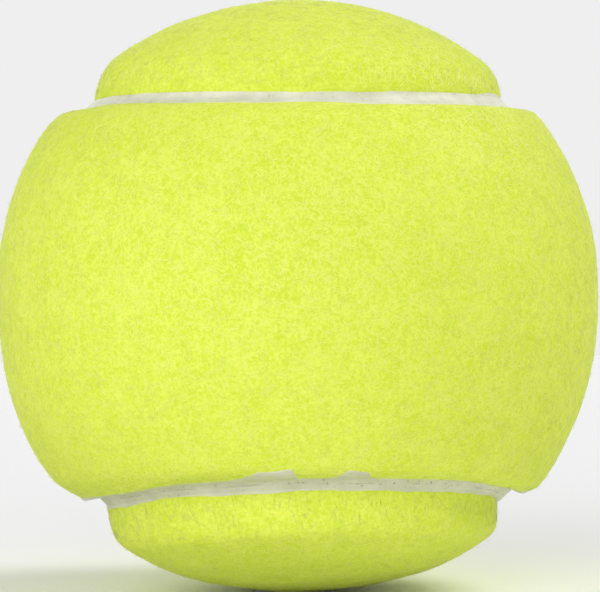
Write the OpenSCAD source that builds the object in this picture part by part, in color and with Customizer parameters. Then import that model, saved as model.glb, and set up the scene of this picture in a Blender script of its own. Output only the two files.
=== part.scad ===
// Tennis ball.
// A hollow rubber core of two moulded half shells is covered by two interlocking dog-bone
// panels of felt. The panels' edges meet in one continuous seam of rubber cement.
// Millimetres, +Z up. The origin is the centre of the ball, and the waist of the front
// panel faces -Y. The front panel's lobes wrap round the left and right of the ball, and
// the back panel's lobes close over its top and bottom.

/* [Core] */
// Outside diameter of the hollow rubber core
core_d = 60; // [56:0.5:66]
// Wall of each moulded half shell
core_wall = 3.4; // [2.4:0.1:5]
// Cement film between the rims of the two half shells
joint_film = 0.2; // [0.1:0.05:0.5]
// Radius of the bead of cement that squeezes out inside the joint
joint_bead_r = 0.7; // [0.4:0.1:1.2]

/* [Cover] */
// Coat of rubber cement all over the core
coat_t = 0.15; // [0.1:0.05:0.4]
// Rubberised backing on the inside of the felt
backing_t = 0.35; // [0.2:0.05:0.8]
// Felt above its backing, along the middle of a panel
felt_t = 2.5; // [2:0.1:3.5]
// Felt above its backing at its cut edge, beside the seam
felt_edge_t = 0.8; // [0.4:0.1:1.4]
// Width of the felt's rolled edge, measured along the ball
edge_roll = 3.6; // [2:0.1:4.5]
// Extra height of the felt on the crest between its rolled edge and the panel's middle
edge_rise = 0.6; // [0:0.05:1]

/* [Seam] */
// Waist of a panel between the centres of its two seams, measured along the ball
waist_w = 44.2; // [40:0.2:50]
// Swing of the seam in longitude, which squares up the lobes, in degrees
seam_swing_angle = 13.7; // [8:0.1:16]
// Gap between the cut edges of the two panels
seam_gap = 1.5; // [0.8:0.1:2.4]
// How far the rubber climbs over each felt edge, measured along the ball
seam_climb = 0.2; // [0.1:0.05:0.8]
// Hollow of the rubber at the middle of the seam, below the felt's cut edge
seam_dip = 0.1; // [0:0.05:0.3]

/* [Hidden] */
core_r = core_d / 2;
cavity_r = core_r - core_wall;
coat_r = core_r + coat_t;
backing_r = coat_r + backing_t;
felt_r = backing_r + felt_t;
// Distances along the ball from the middle of the seam
gap_half = seam_gap / 2;
climb_end = gap_half + seam_climb;
roll_end = gap_half + edge_roll;
// The crest of the raised band, and where it has sunk to the panel's plain thickness
crest_at = 2.2 * edge_roll;
rise_end = 6 * edge_roll;
// The innermost ring of points that follows the seam
last_ring = 3.3 * edge_roll;
// The blank of each covering piece starts this deep, and a sphere trims it to its seat
blank_r = core_r - core_wall;

// Points along the whole seam, cells across a panel, and faces round a turned piece
seam_points = 144;
cell_count = 12;
round_fn = 128;
full_turn = 360;
half_turn = full_turn / 2;
quarter_turn = full_turn / 4;
eighth_turn = full_turn / 8;
// Turn of the seam at the tip of the front panel's right lobe
tip_turn = 3 * eighth_turn;
// The rolled edge is a superellipse of this power
roll_power = 1.5;
// Rings of points as shares of the width under the rubber, of the rest of the rolled edge
// and of the way from there to the innermost ring
climb_shares = [0, 1];
roll_shares = [0.12, 0.3, 0.6, 1];
rise_shares = [0.2, 0.5, 1];

// Unit vector in the direction of v
function unit(v) = v / norm(v);

// Turns an arc length on the felt's surface into degrees at the ball's centre
function arc_angle(x) = x / felt_r * half_turn / PI;

// Latitude at which the seam turns back, seen from the pole at the front panel's waist
seam_peak = quarter_turn - arc_angle(waist_w / 2);

// Direction of the seam at turn t. It crosses the plane y = 0 four times in one lap.
function seam_dir(t) =
    let (lat = seam_peak * sin(2 * t), lon = t - seam_swing_angle * sin(4 * t) - eighth_turn)
    [cos(lat) * sin(lon), -sin(lat), cos(lat) * cos(lon)];

// Unit vector from the seam at turn t towards the middle of the front panel
seam_step = full_turn / seam_points;
function seam_inward(t) =
    let (ahead = seam_dir(t + seam_step / 8), behind = seam_dir(t - seam_step / 8))
    unit(cross(ahead - behind, seam_dir(t)));

// Direction of the point that lies x to the front panel's side of the seam at turn t
function beside_seam(t, x) =
    cos(arc_angle(x)) * seam_dir(t) + sin(arc_angle(x)) * seam_inward(t);

// Turn of the seam's point i, counted from the tip of the front panel's right lobe
function turn_of(i) = tip_turn + i * seam_step;

// Seam directions at every point, for measuring how far a point is from the seam
seam_line = [for (i = [0:seam_points - 1]) seam_dir(turn_of(i))];
function seam_distance(dir) =
    acos(max([for (s = seam_line) s * dir])) * PI / half_turn * felt_r;

// 0 below a, 1 above b, and a smooth rise between
function ramp(x, a, b) =
    let (u = min(max((x - a) / (b - a), 0), 1)) u * u * (3 - 2 * u);

// Outer radius of the felt at distance x from the middle of the seam
function rise(x) =
    edge_rise * ramp(x, gap_half, crest_at) * (1 - ramp(x, crest_at, rise_end));
function rolled(u) = pow(1 - pow(1 - min(u, 1), roll_power), 1 / roll_power);
function felt_outer(x) =
    backing_r + felt_edge_t + rise(x)
    + (felt_t - felt_edge_t) * rolled((x - gap_half) / edge_roll);

// Distances of the rings of points that follow the seam, from the cut edge inwards
ring_xs = concat(
    [for (share = climb_shares) gap_half + share * seam_climb],
    [for (share = roll_shares) climb_end + share * (roll_end - climb_end)],
    [for (share = rise_shares) roll_end + share * (last_ring - roll_end)]
);

// One ring of directions at distance x, and a ring of points at that distance and radius
function ring_dirs(x) = [for (i = [0:seam_points - 1]) beside_seam(turn_of(i), x)];
function scaled_points(dirs, r) = [for (d = dirs) d * r];

// Directions across the panel between the mirrored points of a ring, one row for each pair
function rib_dirs(ring, cells) = [
    for (i = [1:seam_points / 2 - 1])
        let (a = ring[i], b = ring[seam_points - i], turn = acos(a * b))
        for (k = [1:1:cells - 1])
            let (u = k / cells)
            (sin((1 - u) * turn) * a + sin(u * turn) * b) / sin(turn)
];

// Faces between two rings of seam points that start at point numbers a and b
function band_faces(a, b) = [
    for (i = [0:seam_points - 1])
        let (j = (i + 1) % seam_points)
        each [[a + i, a + j, b + j], [a + i, b + j, b + i]]
];

// Faces that fill a ring starting at point number a with ribs starting at number m
function rib_point(a, m, cells, i, k) =
    k == 0 ? a + i
    : k == cells ? a + seam_points - i
    : m + (i - 1) * (cells - 1) + k - 1;
function fill_faces(a, m, cells) =
    let (last = seam_points / 2 - 1)
    concat(
        [for (k = [0:cells - 1])
            [a, rib_point(a, m, cells, 1, k), rib_point(a, m, cells, 1, k + 1)]],
        [for (i = [1:last - 1], k = [0:cells - 1])
            let (
                p = rib_point(a, m, cells, i, k),
                q = rib_point(a, m, cells, i, k + 1),
                r = rib_point(a, m, cells, i + 1, k),
                s = rib_point(a, m, cells, i + 1, k + 1)
            )
            each [[p, r, s], [p, s, q]]],
        [for (k = [0:cells - 1])
            [a + last + 1, rib_point(a, m, cells, last, k + 1), rib_point(a, m, cells, last, k)]]
    );
function flipped(faces) = [for (f = faces) [f[0], f[2], f[1]]];

// A dog-bone block on the front panel's outline, from blank_r out to the given rings.
// ring_rs holds the radius of each ring, and fill_rs that of each point inside the last.
// Plain chords close its underside, which a sphere cuts away.
module panel_block(xs, ring_rs, fill_rs, cells) {
    rings = len(xs);
    outline = ring_dirs(xs[0]);
    innermost = ring_dirs(xs[rings - 1]);
    top_fill = rib_dirs(innermost, cells);
    top_start = rings * seam_points;
    low_start = top_start + len(top_fill);
    points = concat(
        [for (k = [0:rings - 1]) each scaled_points(ring_dirs(xs[k]), ring_rs[k])],
        [for (i = [0:len(top_fill) - 1]) top_fill[i] * fill_rs[i]],
        scaled_points(outline, blank_r)
    );
    faces = concat(
        [for (k = [0:1:rings - 2]) each band_faces(k * seam_points, (k + 1) * seam_points)],
        fill_faces((rings - 1) * seam_points, top_start, cells),
        band_faces(low_start, 0),
        flipped(fill_faces(low_start, low_start, 1))
    );
    polyhedron(points, faces, convexity = 6);
}

// The front panel's outline cut straight through every layer. Its outer face is of chords
// from edge to edge, so that face lies far enough out to clear the ball.
module panel_cutter() {
    panel_block([gap_half], [2 * felt_r], [], 1);
}

// The front felt panel, rolled at its edge and seated on its backing
module felt_panel() {
    last = ring_xs[len(ring_xs) - 1];
    fill_rs = [for (d = rib_dirs(ring_dirs(last), cell_count)) felt_outer(seam_distance(d))];
    difference() {
        panel_block(ring_xs, [for (x = ring_xs) felt_outer(x)], fill_rs, cell_count);
        sphere(r = backing_r, $fn = round_fn);
    }
}

// The rubberised backing under the front panel
module backing_panel() {
    intersection() {
        hollow_ball(backing_r, coat_r);
        panel_cutter();
    }
}

// Half a turn about the seam's crossing at upper right carries the front panel to the back
module to_back() {
    rotate(a = half_turn, v = [1, 0, 1]) children();
}

module hollow_ball(outer_r, inner_r) {
    difference() {
        sphere(r = outer_r, $fn = round_fn);
        sphere(r = inner_r, $fn = round_fn);
    }
}

// One moulded half shell of the core, with its rim half a film above the joint plane
module core_half() {
    rotate_extrude($fn = round_fn)
        intersection() {
            difference() {
                circle(r = core_r, $fn = round_fn);
                circle(r = cavity_r, $fn = round_fn);
            }
            translate([0, joint_film / 2]) square(core_r);
        }
}

module core_half_upper() {
    color("#3b3a38") core_half();
}

module core_half_lower() {
    color("#3b3a38") mirror([0, 0, 1]) core_half();
}

// The film between the rims, with the bead that squeezes out round the inside
module core_joint_cement() {
    color("#d9c79a")
        rotate_extrude($fn = round_fn)
            union() {
                intersection() {
                    circle(r = core_r, $fn = round_fn);
                    translate([cavity_r - joint_bead_r / 2, -joint_film / 2])
                        square([core_r, joint_film]);
                }
                intersection() {
                    translate([cavity_r, 0]) circle(r = joint_bead_r, $fn = round_fn);
                    circle(r = cavity_r, $fn = round_fn);
                    translate([0, -joint_bead_r]) square([core_r, 2 * joint_bead_r]);
                }
            }
}

module core_cement_coat() {
    color("#e6d9b4") hollow_ball(coat_r, core_r);
}

module felt_backing_front() {
    color("#e8e2cf") backing_panel();
}

module felt_backing_back() {
    color("#e8e2cf") to_back() backing_panel();
}

module felt_front() {
    color("#d8e754") felt_panel();
}

module felt_back() {
    color("#d8e754") to_back() felt_panel();
}

// The rubber seam: it fills the gap down to the core and climbs a little over both edges.
// Its flat facets lie on the round coat, so their corners stand off it by a hair.
// Each pair is a distance from the middle of the seam and a radius.
seat_r = coat_r / cos(seam_step);
hollow_r = backing_r + felt_edge_t - seam_dip;
seam_side = concat(
    [[gap_half, seat_r]],
    [for (k = [0:len(climb_shares) - 1]) [ring_xs[k], felt_outer(ring_xs[k])]],
    [[gap_half, (hollow_r + felt_outer(climb_end)) / 2]]
);
seam_profile = concat(
    seam_side,
    [[0, hollow_r]],
    [for (i = [len(seam_side) - 1:-1:0]) [-seam_side[i][0], seam_side[i][1]]]
);

module seam_cement() {
    sides = len(seam_profile);
    points = [for (p = seam_profile) each scaled_points(ring_dirs(p[0]), p[1])];
    faces = [
        for (k = [0:sides - 1])
            each flipped(band_faces(k * seam_points, ((k + 1) % sides) * seam_points))
    ];
    color("#e4e2cf") polyhedron(points, faces, convexity = 6);
}

core_half_lower();
core_half_upper();
core_joint_cement();
core_cement_coat();
felt_backing_front();
felt_backing_back();
felt_front();
felt_back();
seam_cement();
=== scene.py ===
"""A tennis ball: a rubber core, two interlocking felt panels and the rubber seam between them."""

import math

import bpy
from mathutils import Matrix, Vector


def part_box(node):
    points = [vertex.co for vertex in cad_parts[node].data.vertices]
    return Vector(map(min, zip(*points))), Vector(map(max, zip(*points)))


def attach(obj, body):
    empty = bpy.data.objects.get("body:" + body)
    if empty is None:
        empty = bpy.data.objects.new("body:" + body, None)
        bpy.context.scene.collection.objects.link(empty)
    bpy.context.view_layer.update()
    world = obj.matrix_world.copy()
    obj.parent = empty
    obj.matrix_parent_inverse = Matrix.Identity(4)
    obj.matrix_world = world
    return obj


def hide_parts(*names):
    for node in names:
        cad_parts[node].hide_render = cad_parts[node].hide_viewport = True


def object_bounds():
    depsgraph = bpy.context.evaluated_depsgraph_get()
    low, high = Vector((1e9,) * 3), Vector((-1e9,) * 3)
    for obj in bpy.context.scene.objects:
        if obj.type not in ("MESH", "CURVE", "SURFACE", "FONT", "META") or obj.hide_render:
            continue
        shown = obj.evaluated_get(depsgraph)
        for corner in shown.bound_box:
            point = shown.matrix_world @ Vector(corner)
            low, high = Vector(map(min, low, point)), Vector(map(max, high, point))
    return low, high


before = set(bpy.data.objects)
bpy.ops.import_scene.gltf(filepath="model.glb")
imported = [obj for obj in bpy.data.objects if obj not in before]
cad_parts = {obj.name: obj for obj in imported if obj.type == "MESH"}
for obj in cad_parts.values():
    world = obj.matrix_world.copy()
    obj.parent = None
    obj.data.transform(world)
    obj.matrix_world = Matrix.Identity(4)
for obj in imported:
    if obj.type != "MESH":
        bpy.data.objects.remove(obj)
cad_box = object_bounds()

# Core.
# Two half shells of black rubber, each moulded in a heated press and buffed on its rim and
# outside. They are cemented rim to rim with gas under pressure inside. Unseen in a whole ball.

MM = 0.001
scene = bpy.context.scene


class Field:
    """A socket of a node tree, on which Python's operators add Math and Vector Math nodes."""

    def __init__(self, tree, socket):
        self.tree = tree
        self.socket = socket

    def __add__(self, other):
        return calc("ADD", self, other)

    def __radd__(self, other):
        return calc("ADD", other, self)

    def __sub__(self, other):
        return calc("SUBTRACT", self, other)

    def __rsub__(self, other):
        return calc("SUBTRACT", other, self)

    def __mul__(self, other):
        return calc("MULTIPLY", self, other)

    def __rmul__(self, other):
        return calc("MULTIPLY", other, self)

    def __truediv__(self, other):
        return calc("DIVIDE", self, other)

    def __pow__(self, other):
        return calc("POWER", self, other)

    def __mod__(self, other):
        return calc("FLOORED_MODULO", self, other)

    def __gt__(self, other):
        return calc("GREATER_THAN", self, other)

    def __lt__(self, other):
        return calc("LESS_THAN", self, other)

    def part(self, axis):
        """The X, Y or Z of a vector."""
        return self.tree_node("ShaderNodeSeparateXYZ", {}, {0: self}, axis)

    def tree_node(self, kind, settings, values, output=0):
        return add_node(self.tree, kind, settings, values, output)

    def clamped(self, low=0.0, high=1.0):
        return calc("MINIMUM", calc("MAXIMUM", self, low), high)

    def smoothed(self, start, end, at_start=0.0, at_end=1.0):
        """A smooth step from one value to another as this field goes from start to end."""
        values = {"Value": self, "From Min": start, "From Max": end}
        values.update({"To Min": at_start, "To Max": at_end})
        settings = {"interpolation_type": "SMOOTHSTEP"}
        return self.tree_node("ShaderNodeMapRange", settings, values)


def is_vector(value):
    if isinstance(value, Field):
        return value.socket.type == "VECTOR"
    return isinstance(value, tuple)


def calc(operation, *parts):
    """A Math node, or a Vector Math node where a part is a vector."""
    tree = next(part.tree for part in parts if isinstance(part, Field))
    settings = {"operation": operation}
    if not any(is_vector(part) for part in parts):
        return add_node(tree, "ShaderNodeMath", settings, dict(enumerate(parts)))
    numbers = [part for part in parts if not is_vector(part)]
    if operation == "MULTIPLY" and numbers:
        vector = next(part for part in parts if is_vector(part))
        values = {0: vector, "Scale": numbers[0]}
        return add_node(tree, "ShaderNodeVectorMath", {"operation": "SCALE"}, values)
    output = "Value" if operation in ("DOT_PRODUCT", "LENGTH", "DISTANCE") else "Vector"
    return add_node(tree, "ShaderNodeVectorMath", settings, dict(enumerate(parts)), output)


def find_socket(sockets, key):
    """The socket at a number, or the first in use that has an identifier or else a name."""
    if isinstance(key, int):
        return sockets[key]
    used = [socket for socket in sockets if socket.enabled]
    found = [socket for socket in used if socket.identifier == key]
    return (found or [socket for socket in used if socket.name == key])[0]


def add_node(tree, kind, settings, values, output=0):
    """Adds a node, sets its settings, then its inputs, and returns the named output."""
    node = tree.nodes.new(kind)
    for name, setting in settings.items():
        setattr(node, name, setting)
    for key, value in values.items():
        socket = find_socket(node.inputs, key)
        for part in value if isinstance(value, list) else [value]:
            if isinstance(part, Field):
                tree.links.new(part.socket, socket)
            else:
                socket.default_value = part
    return Field(tree, find_socket(node.outputs, output)) if len(node.outputs) else node


def srgb(red, green, blue):
    """A colour as it looks on a screen, in parts of 255, as a linear colour."""
    parts = [part / 255 for part in (red, green, blue)]
    linear = [p / 12.92 if p <= 0.04045 else ((p + 0.055) / 1.055) ** 2.4 for p in parts]
    return (*linear, 1.0)


def noise(tree, place, scale, detail=2.0, roughness=0.5, output=0):
    """Noise with this many swells a metre. Output 0 is a number and 1 a colour."""
    values = {"Vector": place, "Scale": scale, "Detail": detail, "Roughness": roughness}
    return add_node(tree, "ShaderNodeTexNoise", {}, values, output)


def mix_colours(tree, factor, first, second):
    values = {"Factor_Float": factor, "A_Color": first, "B_Color": second}
    return add_node(tree, "ShaderNodeMix", {"data_type": "RGBA"}, values, "Result_Color")


def new_material(name):
    """An empty material with its node tree and a field of object coordinates."""
    material = bpy.data.materials.new(name)
    material.use_nodes = True
    tree = material.node_tree
    tree.nodes.clear()
    place = add_node(tree, "ShaderNodeTexCoord", {}, {}, "Object")
    return material, tree, place


def finish_material(tree, sockets):
    """Ends a material in one Principled shader with these values or links."""
    shader = add_node(tree, "ShaderNodeBsdfPrincipled", {}, sockets)
    add_node(tree, "ShaderNodeOutputMaterial", {}, {"Surface": shader})


def bump(tree, height, distance):
    values = {"Height": height, "Distance": distance}
    return add_node(tree, "ShaderNodeBump", {}, values, "Normal")


def speckled_rubber(name, dark, pale, cells, roughness, grain):
    """Rubber compound: two shades in fine specks, and a grain from the press or the brush."""
    material, tree, place = new_material(name)
    specks = noise(tree, place, cells, 4.0)
    colour = mix_colours(tree, specks.smoothed(0.35, 0.7), dark, pale)
    dull = specks.smoothed(0.3, 0.7, roughness - 0.1, roughness)
    relief = bump(tree, noise(tree, place, cells * 1.7, 3.0), grain)
    finish_material(tree, {"Base Color": colour, "Roughness": dull, "Normal": relief})
    return material


def dress(node, material):
    """Gives a CAD node its material."""
    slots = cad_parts[node].data.materials
    slots.clear()
    slots.append(material)


core_rubber = speckled_rubber(
    "core rubber", srgb(40, 39, 38), srgb(62, 60, 57), 900.0, 0.85, 0.05 * MM
)
for half in ("core_half_lower", "core_half_upper"):
    dress(half, core_rubber)

# Core joint.
# Rubber cement brushed on both rims before the halves meet. The press squeezes a small bead
# of it into the hollow.

joint_cement = speckled_rubber(
    "joint cement", srgb(176, 148, 92), srgb(204, 178, 122), 600.0, 0.5, 0.03 * MM
)
dress("core_joint_cement", joint_cement)

# Core coat.
# The buffed core is tumbled in thin rubber cement, so that the covers stick all over.

cement_coat = speckled_rubber(
    "cement coat", srgb(196, 178, 132), srgb(220, 205, 164), 700.0, 0.55, 0.04 * MM
)
dress("core_cement_coat", cement_coat)

# Felt backing.
# The cloth is woven, raised and felted, and its back gets a layer of latex before the
# dog-bone blanks are punched. One is on each panel, against the core.

backing_rubber = speckled_rubber(
    "felt backing", srgb(206, 202, 184), srgb(228, 224, 206), 1100.0, 0.8, 0.06 * MM
)
for backing in ("felt_backing_front", "felt_backing_back"):
    dress(backing, backing_rubber)

# Seam.
# White rubber cement on the cut edges of both blanks. Under heat in the mould it flows
# together into one band that fills the gap and climbs a little over both edges.

ball_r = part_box("felt_front")[1].x
backing_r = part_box("felt_backing_front")[1].x
coat_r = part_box("core_cement_coat")[1].x
waist_w = 44.2 * MM
seam_peak = math.pi / 2 - waist_w / 2 / ball_r
seam_swing = math.radians(13.7)
gap_half = 0.75 * MM
edge_t = 0.8 * MM
# How far the seam swings out at the two upper corners that the front shows, and how closely a
# corner keeps to its place.
left_lean = math.radians(2.7)
right_lean = math.radians(3.1)
corner_focus = 35.0


def combine(tree, x, y, z):
    return add_node(tree, "ShaderNodeCombineXYZ", {}, {"X": x, "Y": y, "Z": z})


def unit(vector):
    return vector.tree_node("ShaderNodeVectorMath", {"operation": "NORMALIZE"}, {0: vector})


def corner(turn, quarter):
    """1 at one of the four corners that the seam shows from the front, and 0 away from it."""
    return (calc("COSINE", turn - quarter * math.pi / 2) * 0.5 + 0.5) ** corner_focus


def seam_direction(turn):
    """Where the seam passes at this turn, as a direction from the ball's centre."""
    latitude = calc("SINE", turn * 2.0) * seam_peak
    longitude = turn - calc("SINE", turn * 4.0) * seam_swing - math.pi / 4
    longitude = longitude + corner(turn, 1) * right_lean - corner(turn, 0) * left_lean
    level = calc("COSINE", latitude)
    across = level * calc("SINE", longitude)
    up = level * calc("COSINE", longitude)
    return combine(turn.tree, across, calc("SINE", latitude) * -1.0, up)


def beside_seam(turn, away):
    """The direction that lies this far to the front panel's side of the seam."""
    step = 0.005
    here = seam_direction(turn)
    along = seam_direction(turn + step) - seam_direction(turn - step)
    inward = unit(calc("CROSS_PRODUCT", along, here))
    angle = away * (1 / ball_r)
    return here * calc("COSINE", angle) + inward * calc("SINE", angle)


felt_t = ball_r - backing_r
# The width of a panel's rolled edge, and how round it is.
front_roll = 3.1 * MM
back_roll = 4.4 * MM
roll_power = 1.5
# The raised band inside the edge: its height, and how far from the seam it crests and ends.
edge_rise = 0.6 * MM
crest_at = 4.5 * MM
front_rise_end = 30.0 * MM
back_rise_end = 22.0 * MM
# How much fuller the ball is round its middle, and how high its tufts and swells are.
girth = 0.33 * MM
clump_height = 0.15 * MM
swell_height = 0.35 * MM

# Where the front panel's edge is pressed down: a direction, and the cosines of the angles from
# it at which the pressing starts and is full.
pressed_spots = (
    ((-0.726, -0.156, 0.67), 0.965, 0.99),
    ((0.717, -0.218, 0.662), 0.95, 0.985),
    ((0.69, -0.2, -0.695), 0.96, 0.985),
    ((-0.71, -0.05, -0.7), 0.96, 0.985),
    ((0.4, -0.63, 0.664), 0.91, 0.975),
    ((-0.33, -0.67, 0.66), 0.93, 1.07),
)


def felt_radius(direction, away, back):
    """The felt's surface at this distance from the middle of the seam, with its tufts."""
    tree = direction.tree
    right = direction.part(0)
    up = direction.part(2)
    # Both edges roll over more tightly at the ball's lower corners, and the front one's most.
    tight = calc("ABSOLUTE", right).smoothed(0.4, 0.6) * (up * (0.8 * back - 1)).clamped()
    roll = (front_roll + (back_roll - front_roll) * back) * (1 - tight)
    rolled = 1 - ((away - gap_half) / roll).clamped()
    round_edge = (1 - rolled**roll_power) ** (1 / roll_power)
    for spot, start, full in pressed_spots:
        pressed = calc("DOT_PRODUCT", direction, spot).smoothed(start, full) * (1 - back)
        round_edge = round_edge + ((1 - rolled).smoothed(0.05, 0.8) - round_edge) * pressed
    # The raised band is highest at the lower left, and crests closer to the seam on the right.
    rise_end = front_rise_end + (back_rise_end - front_rise_end) * back
    crest = (1 - right * 0.35) * crest_at
    rise = away.smoothed(gap_half, crest) * away.smoothed(crest, rise_end, 1.0, 0.0)
    rise = rise * (1.15 - up * 0.95 - right * 0.4).clamped(0.25, 1.8) * edge_rise
    rise = rise + (1 - up * up) * away.smoothed(gap_half, crest_at) * girth
    clumps = noise(tree, direction * ball_r, 420.0, 3.0, 0.55) - 0.5
    swells = noise(tree, direction * ball_r, 110.0, 1.0) - 0.5
    tufts = clumps * clump_height + swells * swell_height
    tufts = tufts * away.smoothed(gap_half, 4 * gap_half, 0.3, 1.0)
    return round_edge * (felt_t - edge_t) + rise + tufts + (backing_r + edge_t)


def grid(tree, along, across):
    """A flat mesh, and fields that run over it: along from 0 to 1, and across from -1 to 1."""
    values = {"Size X": 1.0, "Size Y": 2.0, "Vertices X": along, "Vertices Y": across}
    mesh = add_node(tree, "GeometryNodeMeshGrid", {}, values, "Mesh")
    place = add_node(tree, "GeometryNodeInputPosition", {}, {})
    return mesh, place.part(0) + 0.5, place.part(1)


def moved(mesh, position):
    return mesh.tree_node("GeometryNodeSetPosition", {}, {0: mesh, "Position": position})


def noted(geometry, name, kind, domain, value):
    """Stores a field on the geometry under a name."""
    settings = {"data_type": kind, "domain": domain}
    values = {"Geometry": geometry, "Name": name, "Value": value}
    return geometry.tree_node("GeometryNodeStoreNamedAttribute", settings, values)


def joined(upper, lower):
    """Two skins that meet at their edges, the lower one turned over, as one closed mesh."""
    turned_over = lower.tree_node("GeometryNodeFlipFaces", {}, {"Mesh": lower})
    both = upper.tree_node("GeometryNodeJoinGeometry", {}, {"Geometry": [upper, turned_over]})
    values = {"Geometry": both, "Distance": 0.0005 * MM}
    return upper.tree_node("GeometryNodeMergeByDistance", {}, values)


def pick(choice, when_false, when_true):
    kind = "FLOAT"
    if is_vector(when_true) or is_vector(when_false):
        kind = "VECTOR"
    values = {"Switch": choice, "False": when_false, "True": when_true}
    return choice.tree_node("GeometryNodeSwitch", {"input_type": kind}, values)


def grow(name, build, material, **sizes):
    """Runs a tree of Geometry Nodes once, and returns what it makes as a plain mesh object."""
    kinds = {int: "NodeSocketInt", float: "NodeSocketFloat"}
    tree = bpy.data.node_groups.new(name, "GeometryNodeTree")
    tree.interface.new_socket("Geometry", in_out="OUTPUT", socket_type="NodeSocketGeometry")
    sockets = {}
    for size, value in sizes.items():
        label = size.replace("_", " ").capitalize()
        sockets[size] = tree.interface.new_socket(
            label, in_out="INPUT", socket_type=kinds[type(value)]
        )
    entry = tree.nodes.new("NodeGroupInput")
    fields = {
        size: Field(tree, find_socket(entry.outputs, socket.identifier))
        for size, socket in sockets.items()
    }
    shape = build(tree, **fields)
    shape = add_node(tree, "GeometryNodeRealizeInstances", {}, {"Geometry": shape})
    values = {"Geometry": shape, "Material": material}
    shape = add_node(tree, "GeometryNodeSetMaterial", {}, values)
    add_node(tree, "NodeGroupOutput", {}, {"Geometry": shape})
    seed = bpy.data.objects.new(name, bpy.data.meshes.new(name))
    scene.collection.objects.link(seed)
    modifier = seed.modifiers.new(name, "NODES")
    modifier.node_group = tree
    for size, socket in sockets.items():
        modifier[socket.identifier] = sizes[size]
    graph = bpy.context.evaluated_depsgraph_get()
    mesh = bpy.data.meshes.new_from_object(seed.evaluated_get(graph))
    bpy.data.objects.remove(seed)
    mesh.name = name
    mesh.shade_smooth()
    piece = bpy.data.objects.new(name, mesh)
    scene.collection.objects.link(piece)
    return piece


# Where the rubber ran further over a panel's edge: the panel, the turn of its crest, how far
# it fades towards a lower and a higher turn, all in degrees, and how much further it went.
spills = (
    ("front", 4.0, 12.0, 11.0, 1.2 * MM),
    ("front", 30.0, 12.0, 14.0, 0.4 * MM),
    ("front", 64.0, 26.0, 22.0, 0.6 * MM),
    ("front", 83.0, 13.0, 10.0, 1.2 * MM),
    ("front", 185.0, 7.0, 8.0, 1.2 * MM),
    ("front", 205.0, 16.0, 14.0, 0.4 * MM),
    ("front", 221.5, 3.6, 3.4, 2.6 * MM),
    ("front", 227.0, 8.0, 8.0, 0.5 * MM),
    ("front", 230.0, 1.4, 9.5, 2.8 * MM),
    ("front", 243.0, 14.0, 12.0, 0.9 * MM),
    ("front", 264.0, 22.0, 14.0, 1.0 * MM),
    ("back", 83.0, 16.0, 10.0, 0.25 * MM),
    ("back", 182.0, 8.0, 8.0, 0.6 * MM),
    ("back", 266.0, 18.0, 10.0, 0.3 * MM),
)
# How unevenly the rubber climbs over each panel's edge, how far it climbs between the spills,
# how much further over the front one's upper edge and less far over the back one's, and the
# least that it can climb.
climb_swing = {"front": 0.9 * MM, "back": 0.5 * MM}
usual_climb = 0.2 * MM
front_top_climb = 0.25 * MM
back_top_climb = 0.15 * MM
least_climb = 0.03 * MM


def climbed(turn, ring, panel, shift, usual):
    """How far the rubber climbs over a panel's edge: an uneven film with a few spills."""
    wave = noise(turn.tree, ring + (shift, 0.0, 0.0), 6.0, 3.0, 0.6) - 0.5
    climb = wave * climb_swing[panel] + usual
    for side, place, before, after, height in spills:
        if side == panel:
            gone = (turn + (math.pi - math.radians(place))) % math.tau - math.pi
            risen = gone.smoothed(math.radians(-before), 0.0)
            fallen = gone.smoothed(0.0, math.radians(after), 1.0, 0.0)
            climb = climb + (risen * fallen * 1.5).clamped() * height
    return calc("MAXIMUM", climb, least_climb)


# The film of rubber on the felt and how deep it sinks in, the hollow between the edges and how
# deep that lies, and how unevenly the hollow runs.
film_t = 0.17 * MM
film_depth = 0.03 * MM
hollow_t = 0.12 * MM
hollow_depth = 0.05 * MM
wander_height = 0.4 * MM
dimple_height = 0.08 * MM
# How much higher the rubber stands at each corner, and along the ball's lower half.
corner_lifts = (0.45 * MM, 0.45 * MM, 0.63 * MM, 0.27 * MM)
lower_lift = 0.2 * MM
foot_r = coat_r + 0.03 * MM
# The share of the rows that lie over the hollow and the film, and not at the foot.
skin_share = 0.92


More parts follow.
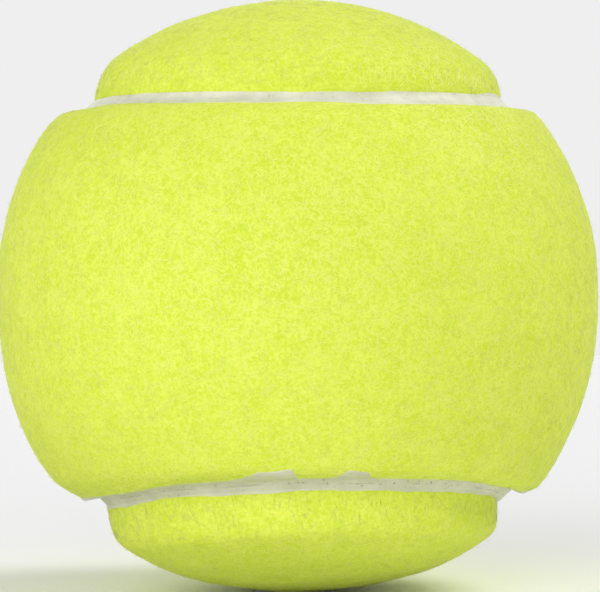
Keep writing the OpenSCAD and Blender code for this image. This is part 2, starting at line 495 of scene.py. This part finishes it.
def seam_band(tree, points, cells):
    """The band's skin over the gap and both felt edges, and its foot on the core's coat."""
    mesh, along, across = grid(tree, points, cells)
    turn = along * math.tau
    ring = seam_direction(turn)
    upper_run = ring.part(2).smoothed(0.0, 0.4)
    front_climb = climbed(turn, ring, "front", 0.0, upper_run * front_top_climb + usual_climb)
    back_climb = climbed(turn, ring, "back", 3.0, usual_climb - upper_run * back_top_climb)
    on_front = across > 0.0
    reach = pick(on_front, back_climb, front_climb) + gap_half
    away = (across * (1 / skin_share)).clamped(-1.0, 1.0) * reach
    gone = calc("ABSOLUTE", away)
    direction = beside_seam(turn, away)
    bed = felt_radius(direction, gone, pick(on_front, 1.0, 0.0))
    thinned = (gone / reach) ** 6.0
    film = bed + (1 - thinned) * film_t - film_depth
    level = ring.part(2) * -lower_lift
    for quarter, lift in enumerate(corner_lifts):
        level = level + corner(turn, quarter) * lift
    wander = (noise(tree, ring + (0.0, 5.0, 0.0), 1.3, 1.0) - 0.5) * wander_height
    dimples = (noise(tree, direction * ball_r, 900.0, 4.0, 0.6) - 0.5) * dimple_height
    hollow = (gone / gap_half).clamped() ** 2.0 * hollow_t + (backing_r + edge_t - hollow_depth)
    hollow = hollow + (wander + level) * (1 - (gone / reach).clamped() ** 3.0) + dimples
    top = pick(gone > gap_half * 0.999, hollow, calc("MAXIMUM", film, hollow))
    # The outermost row on either side goes down to the edge of the foot.
    foot = calc("ABSOLUTE", across) > 0.99
    foot_place = beside_seam(turn, pick(on_front, -gap_half, gap_half))
    mesh = noted(mesh, "across", "FLOAT", "POINT", away * (1 / MM))
    top_skin = moved(mesh, pick(foot, direction * top, foot_place * foot_r))
    mesh, along, across = grid(tree, points, 2)
    foot_place = beside_seam(along * math.tau, across * gap_half)
    return joined(moved(mesh, foot_place * foot_r), top_skin)


seam_rubber, tree, place = new_material("seam rubber")
cloud = noise(tree, place, 450.0, 3.0)
tint = mix_colours(tree, cloud.smoothed(0.35, 0.65), srgb(214, 214, 194), srgb(227, 227, 209))
across = add_node(tree, "ShaderNodeAttribute", {"attribute_name": "across"}, {}, "Fac")
line_at = (noise(tree, place, 150.0, 2.0) - 0.5) * 0.9
line = calc("ABSOLUTE", across - line_at).smoothed(0.03, 0.1, 1.0, 0.0)
line = line * noise(tree, place, 500.0, 2.0).smoothed(0.45, 0.6)
# Painted shade: the rubber is painted darker and yellower towards the ball's bottom, and its pits
# and middle line are painted darker there than at the top.
painted_shade_below = place.part(2).smoothed(-0.4 * ball_r, 0.4 * ball_r, 1.0, 0.15)
pits = noise(tree, place, 2600.0, 1.0).smoothed(0.68, 0.74) * (calc("ABSOLUTE", across) < 0.7)
tint = mix_colours(tree, painted_shade_below * 0.24, tint, srgb(178, 179, 138))
marks = calc("MAXIMUM", line * 0.35, pits * 0.8) * painted_shade_below
tint = mix_colours(tree, marks, tint, srgb(128, 126, 100))
grain = noise(tree, place, 2200.0, 4.0) - pits * 2 - line
skin = bump(tree, grain, 0.02 * MM)
finish_material(tree, {"Base Color": tint, "Roughness": 0.55, "Normal": skin})

band = grow("seam_band", seam_band, seam_rubber, points=1801, cells=31)
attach(band, "root")
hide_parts("seam_cement")

# Felt panels.
# Two dog-bone blanks of wool and nylon cloth in optic yellow, stretched over the core so that
# each one's waist lies between the other's lobes. Steam raises the nap and rounds its edges.

felt_cloth, tree, place = new_material("felt cloth")
frizz = noise(tree, place, 3200.0, 3.0, 0.7)
mottle = noise(tree, place, 1100.0, 3.0, 0.6)
patches = noise(tree, place, 240.0, 2.0)
depth = (frizz * 0.6 + mottle * 0.25 + patches * 0.15).smoothed(0.38, 0.62)
shade = mix_colours(tree, depth, srgb(206, 226, 50), srgb(230, 241, 98))
weave = bump(tree, noise(tree, place, 2500.0, 3.0), 0.05 * MM)
finish_material(tree, {"Base Color": shade, "Roughness": 0.95, "Normal": weave})


tip_turn = math.radians(135)


def seam_line(tree):
    """The seam as a closed line on a unit ball."""
    points = 720
    values = {"Vertices": points}
    line = add_node(tree, "GeometryNodeMeshCircle", {"fill_type": "NONE"}, values)
    index = add_node(tree, "GeometryNodeInputIndex", {}, {})
    return moved(line, seam_direction(index * (math.tau / points)))


def nearest_seam(line, direction):
    """How far a direction is from the middle of the seam along the ball, and its nearest spot."""
    settings = {"target_element": "EDGES"}
    values = {"Geometry": line, "Source Position": direction}
    spot = line.tree_node("GeometryNodeProximity", settings, values, "Position")
    chord = calc("DISTANCE", direction, spot)
    return calc("ARCSINE", chord * 0.5) * (2 * ball_r), spot


def turned(direction, back):
    """The half turn that carries the front panel to the back one."""
    axis = (math.sqrt(0.5), 0.0, math.sqrt(0.5))
    values = {"Vector": direction, "Axis": axis, "Angle": back * math.pi}
    return direction.tree_node("ShaderNodeVectorRotate", {}, values)


def panel_direction(tree, along, across, back):
    """Fills a dog-bone with ribs, each between two points of the seam above one another."""
    turn = along * math.pi + tip_turn
    ends = []
    for own_turn in (turn, math.pi * 1.5 - turn):
        own_turn = own_turn + (math.pi - own_turn * 2) * back
        ends.append(turned(beside_seam(own_turn, (1 - back * 2) * gap_half), back))
    low, high = ends
    share = across * 0.15 + calc("SINE", across * (math.pi / 2)) * 0.35 + 0.5
    low_latitude = calc("ARCSINE", low.part(2))
    latitude = low_latitude * share + calc("ARCSINE", high.part(2)) * (1 - share)
    level = unit((low * share + high * (1 - share)) * (1.0, 1.0, 0.0)) * calc("COSINE", latitude)
    return turned(combine(tree, level.part(0), level.part(1), calc("SINE", latitude)), back)


def felt_panel(tree, ribs, cells, under_cells, back):
    line = seam_line(tree)
    mesh, along, across = grid(tree, ribs, cells)
    widened = across * ((cells - 1) / (cells - 3))
    direction = panel_direction(tree, along, widened.clamped(-1.0, 1.0), back)
    away, _ = nearest_seam(line, direction)
    foot = calc("ABSOLUTE", widened) > 1.0001
    radius = pick(foot, felt_radius(direction, away, back), backing_r)
    upper = moved(mesh, direction * radius)
    mesh, along, across = grid(tree, ribs, under_cells)
    direction = panel_direction(tree, along, across, back)
    return joined(upper, moved(mesh, direction * backing_r))


for side, back in (("front", 0.0), ("back", 1.0)):
    panel = grow(
        f"felt_panel_{side}",
        felt_panel,
        felt_cloth,
        ribs=301,
        cells=191,
        under_cells=17,
        back=back,
    )
    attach(panel, "root")
    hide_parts(f"felt_{side}")

# Nap.
# The loose ends of the wool and nylon fibres on both panels, matted down in curls and swirls,
# with a few that stand off as a haze. They are rooted in the cloth and overlap one another.


def noted_vector(tree, name):
    """A vector that was stored under a name."""
    settings = {"data_type": "FLOAT_VECTOR"}
    return add_node(tree, "GeometryNodeInputNamedAttribute", settings, {"Name": name})


def chance(tree, seed, low, high):
    """A random number for each element, or a random vector if the limits are vectors."""
    kind = "FLOAT_VECTOR" if is_vector(low) else "FLOAT"
    values = {"Min": low, "Max": high, "Seed": seed}
    return add_node(tree, "FunctionNodeRandomValue", {"data_type": kind}, values)


def fibre_map(mesh, faces):
    """A UV map in which each fibre has a square of its own, and each face a part of that."""
    tree = mesh.tree
    total = add_node(
        tree, "GeometryNodeAttributeDomainSize", {}, {"Geometry": mesh}, "Face Count"
    )
    squares = calc("CEIL", calc("SQRT", total / faces))
    corner = add_node(tree, "GeometryNodeInputIndex", {}, {})
    face = add_node(tree, "GeometryNodeFaceOfCorner", {}, {"Corner Index": corner}, 0)
    turn = add_node(tree, "GeometryNodeFaceOfCorner", {}, {"Corner Index": corner}, 1)
    fibre = calc("FLOOR", (face + 0.5) / faces)
    cell = face - fibre * faces
    right = calc("COMPARE", turn, 1.5, 0.6) * 0.8 + 0.1
    up = (turn > 1.5) * 0.8 + 0.1
    column = fibre % squares + (cell % 4.0 + right) / 4
    row = calc("FLOOR", (fibre + 0.5) / squares) + (calc("FLOOR", (cell + 0.5) / 4) + up) / 4
    place = combine(tree, column / squares, row / squares, 0.0)
    return noted(mesh, "OFBake", "FLOAT2", "CORNER", place)


# How far from the rubber the fibres are rooted, how far from it they are combed away, how much
# they stand up beside it, and how deep they are rooted.
root_margin = 0.15 * MM
combed_width = 3.0 * MM
edge_lift = 0.1 * MM
root_depth = 0.02 * MM


def felt_nap(tree, seed, fibres, shortest, longest, width, lift, settle, back):
    """Curved fibres that start in the cloth's surface, and follow it or stand off it."""
    joints = 4
    line = seam_line(tree)
    mesh, along, across = grid(tree, 121, 61)
    skin = moved(mesh, panel_direction(tree, along, across, back))
    values = {"Mesh": skin, "Density": fibres / math.tau, "Seed": seed}
    roots = add_node(tree, "GeometryNodeDistributePointsOnFaces", {}, values, "Points")
    root = unit(add_node(tree, "GeometryNodeInputPosition", {}, {}))
    away, spot = nearest_seam(line, root)
    values = {"Geometry": roots, "Selection": away < gap_half + root_margin}
    roots = add_node(tree, "GeometryNodeDeleteGeometry", {"domain": "POINT"}, values)
    swirl = noise(tree, root, 9.0, 2.0, 0.5, 1) - (0.5, 0.5, 0.5)
    swirl = unit(calc("CROSS_PRODUCT", root, swirl))
    stray = chance(tree, seed + 1, (-1.0, -1.0, -1.0), (1.0, 1.0, 1.0))
    stray = unit(calc("CROSS_PRODUCT", root, stray))
    inward = unit(root - spot) * away.smoothed(gap_half, combed_width, 1.4, 0.0)
    heading = unit(stray + swirl * 0.7 + inward)
    roots = noted(roots, "root", "FLOAT_VECTOR", "POINT", root)
    roots = noted(roots, "heading", "FLOAT_VECTOR", "POINT", heading)
    fate = chance(tree, seed + 2, (0.0, 0.0, 0.0), (1.0, 1.0, 1.0))
    roots = noted(roots, "fate", "FLOAT_VECTOR", "POINT", fate)
    roots = noted(roots, "shade", "FLOAT", "POINT", chance(tree, seed + 3, 0.0, 1.0))
    stick = add_node(tree, "GeometryNodeCurvePrimitiveLine", {}, {})
    stick = add_node(tree, "GeometryNodeResampleCurve", {}, {"Curve": stick, "Count": joints})
    values = {"Points": roots, "Instance": stick}
    strands = add_node(tree, "GeometryNodeInstanceOnPoints", {}, values)
    strands = add_node(tree, "GeometryNodeRealizeInstances", {}, {"Geometry": strands})
    root = noted_vector(tree, "root")
    heading = noted_vector(tree, "heading")
    fate = noted_vector(tree, "fate")
    share = add_node(tree, "GeometryNodeSplineParameter", {}, {}, "Factor")
    length = shortest + (longest - shortest) * fate.part(0)
    bend = (fate.part(1) - 0.5) * 5.0 + 0.01
    forth = calc("SINE", bend * share) * length / bend
    aside = (1 - calc("COSINE", bend * share)) * length / bend
    spot = root * ball_r + heading * forth + calc("CROSS_PRODUCT", root, heading) * aside
    direction = unit(spot)
    away, _ = nearest_seam(line, direction)
    height = share * (2 - share * settle) * lift * fate.part(2)
    height = height + away.smoothed(gap_half * 0.5, gap_half * 1.5, edge_lift, 0.0)
    radius = felt_radius(direction, away, back) + height - root_depth
    strands = moved(strands, direction * radius)
    values = {"Curve": strands, "Normal": direction}
    strands = add_node(tree, "GeometryNodeSetCurveNormal", {"mode": "FREE"}, values)
    taper = 1 - calc("ABSOLUTE", share * 2 - 1) ** 3.0 * 0.6
    ring = add_node(
        tree, "GeometryNodeCurvePrimitiveCircle", {}, {"Resolution": 3, "Radius": 1.0}
    )
    values = {"Geometry": ring, "Scale": (0.3, 1.0, 1.0)}
    ring = add_node(tree, "GeometryNodeTransform", {}, values)
    values = {"Curve": strands, "Profile Curve": ring, "Fill Caps": True}
    values["Scale"] = taper * width * 0.5
    tubes = add_node(tree, "GeometryNodeCurveToMesh", {}, values)
    for name in ("root", "heading", "fate"):
        values = {"Geometry": tubes, "Name": name}
        tubes = add_node(tree, "GeometryNodeRemoveAttribute", {}, values)
    outward = unit(add_node(tree, "GeometryNodeInputPosition", {}, {}))
    own = add_node(tree, "GeometryNodeInputNormal", {}, {})
    settings = {"mode": "FREE", "domain": "POINT"}
    values = {"Mesh": tubes, "Custom Normal": unit(outward + own * 0.25)}
    tubes = add_node(tree, "GeometryNodeSetMeshNormal", settings, values)
    return fibre_map(tubes, 3 * (joints - 1) + 2)


felt_fibre, tree, _ = new_material("felt fibre")
shade = add_node(tree, "ShaderNodeAttribute", {"attribute_name": "shade"}, {}, "Fac")
tint = mix_colours(tree, shade, srgb(232, 242, 112), srgb(246, 250, 180))
values = {"Base Color": tint, "Roughness": 0.5, "Specular IOR Level": 0.8, "Sheen Weight": 0.1}
finish_material(tree, values)

# Each kind of fibre: its name, how many make one piece, how many pieces, its shortest and
# longest, its width, how far it stands off, and how far it settles back on the cloth.
fibre_kinds = (
    ("mat", 9600, 3, 0.8 * MM, 2.0 * MM, 0.07 * MM, 0.12 * MM, 2.0),
    ("haze", 4000, 1, 0.6 * MM, 1.3 * MM, 0.03 * MM, 0.4 * MM, 1.0),
)
seed = 11
for side, back in (("front", 0.0), ("back", 1.0)):
    for kind, fibres, pieces, shortest, longest, width, lift, settle in fibre_kinds:
        for number in range(1, pieces + 1):
            seed += 10
            piece = grow(
                f"nap_{kind}_{side}_{number}",
                felt_nap,
                felt_fibre,
                seed=seed,
                fibres=fibres,
                shortest=shortest,
                longest=longest,
                width=width,
                lift=lift,
                settle=settle,
                back=back,
            )
            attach(piece, "root")

# Setting.
# A pale floor, an even sky and four broad soft lamps, as in a small studio, and the
# photograph's view of the ball.

floor_top = cad_box[0][2]
floor_half = 4.0
signs = ((-1, -1), (1, -1), (1, 1), (-1, 1))
corners = [(x * floor_half, y * floor_half) for x, y in signs]
floor_mesh = bpy.data.meshes.new("floor")
floor_mesh.from_pydata([(x, y, floor_top) for x, y in corners], [], [(0, 1, 2, 3)])
floor = bpy.data.objects.new("floor", floor_mesh)
scene.collection.objects.link(floor)
floor_paint, tree, _ = new_material("floor paint")
finish_material(tree, {"Base Color": srgb(247, 247, 247), "Roughness": 0.9})
floor_mesh.materials.append(floor_paint)

world = bpy.data.worlds.new("studio")
scene.world = world
world.use_nodes = True
tree = world.node_tree
tree.nodes.clear()
seen = add_node(tree, "ShaderNodeLightPath", {}, {}, "Is Camera Ray")
for ray in ("Is Glossy Ray", "Is Transmission Ray"):
    seen = calc("MAXIMUM", seen, add_node(tree, "ShaderNodeLightPath", {}, {}, ray))
white = (1.0, 1.0, 1.0, 1.0)
sky_light = add_node(tree, "ShaderNodeBackground", {}, {"Color": white, "Strength": 0.32})
backdrop = add_node(tree, "ShaderNodeBackground", {}, {"Color": srgb(239, 239, 239)})
sky = add_node(tree, "ShaderNodeMixShader", {}, {0: seen, 1: sky_light, 2: backdrop})
add_node(tree, "ShaderNodeOutputWorld", {}, {"Surface": sky})

# Each lamp: its name and strength, and in degrees its width, its height over the floor and its
# turn from the camera's side.
lamps = (
    ("key", 1.33, 60, 12, -46),
    ("fill", 1.17, 60, 14, -8),
    ("side", 1.25, 30, 48, 100),
    ("back", 1.1, 60, 8, 180),
)
for name, energy, width, height, turn in lamps:
    sun = bpy.data.lights.new(name, "SUN")
    sun.energy = energy
    sun.angle = math.radians(width)
    lamp = bpy.data.objects.new(name, sun)
    lamp.rotation_euler = (math.radians(90 - height), 0.0, math.radians(turn))
    scene.collection.objects.link(lamp)

camera_away = 7.06 * ball_r
camera_swing = math.radians(5.7)
camera_dip = math.radians(1.41)
camera_roll = math.radians(0.48)
lens = bpy.data.cameras.new("camera")
lens.sensor_width = 36.0
lens.lens = 124.08
photo_w = 600
lens.shift_x = 1 / photo_w
lens.clip_start = 0.01
camera = bpy.data.objects.new("camera", lens)
camera.matrix_world = (
    Matrix.Rotation(math.pi / 2 + camera_dip, 4, "X")
    @ Matrix.Rotation(-camera_swing, 4, "Y")
    @ Matrix.Rotation(-camera_roll, 4, "Z")
    @ Matrix.Translation((0.0, 0.0, camera_away))
)
scene.collection.objects.link(camera)
scene.camera = camera
scene.view_settings.view_transform = "Standard"
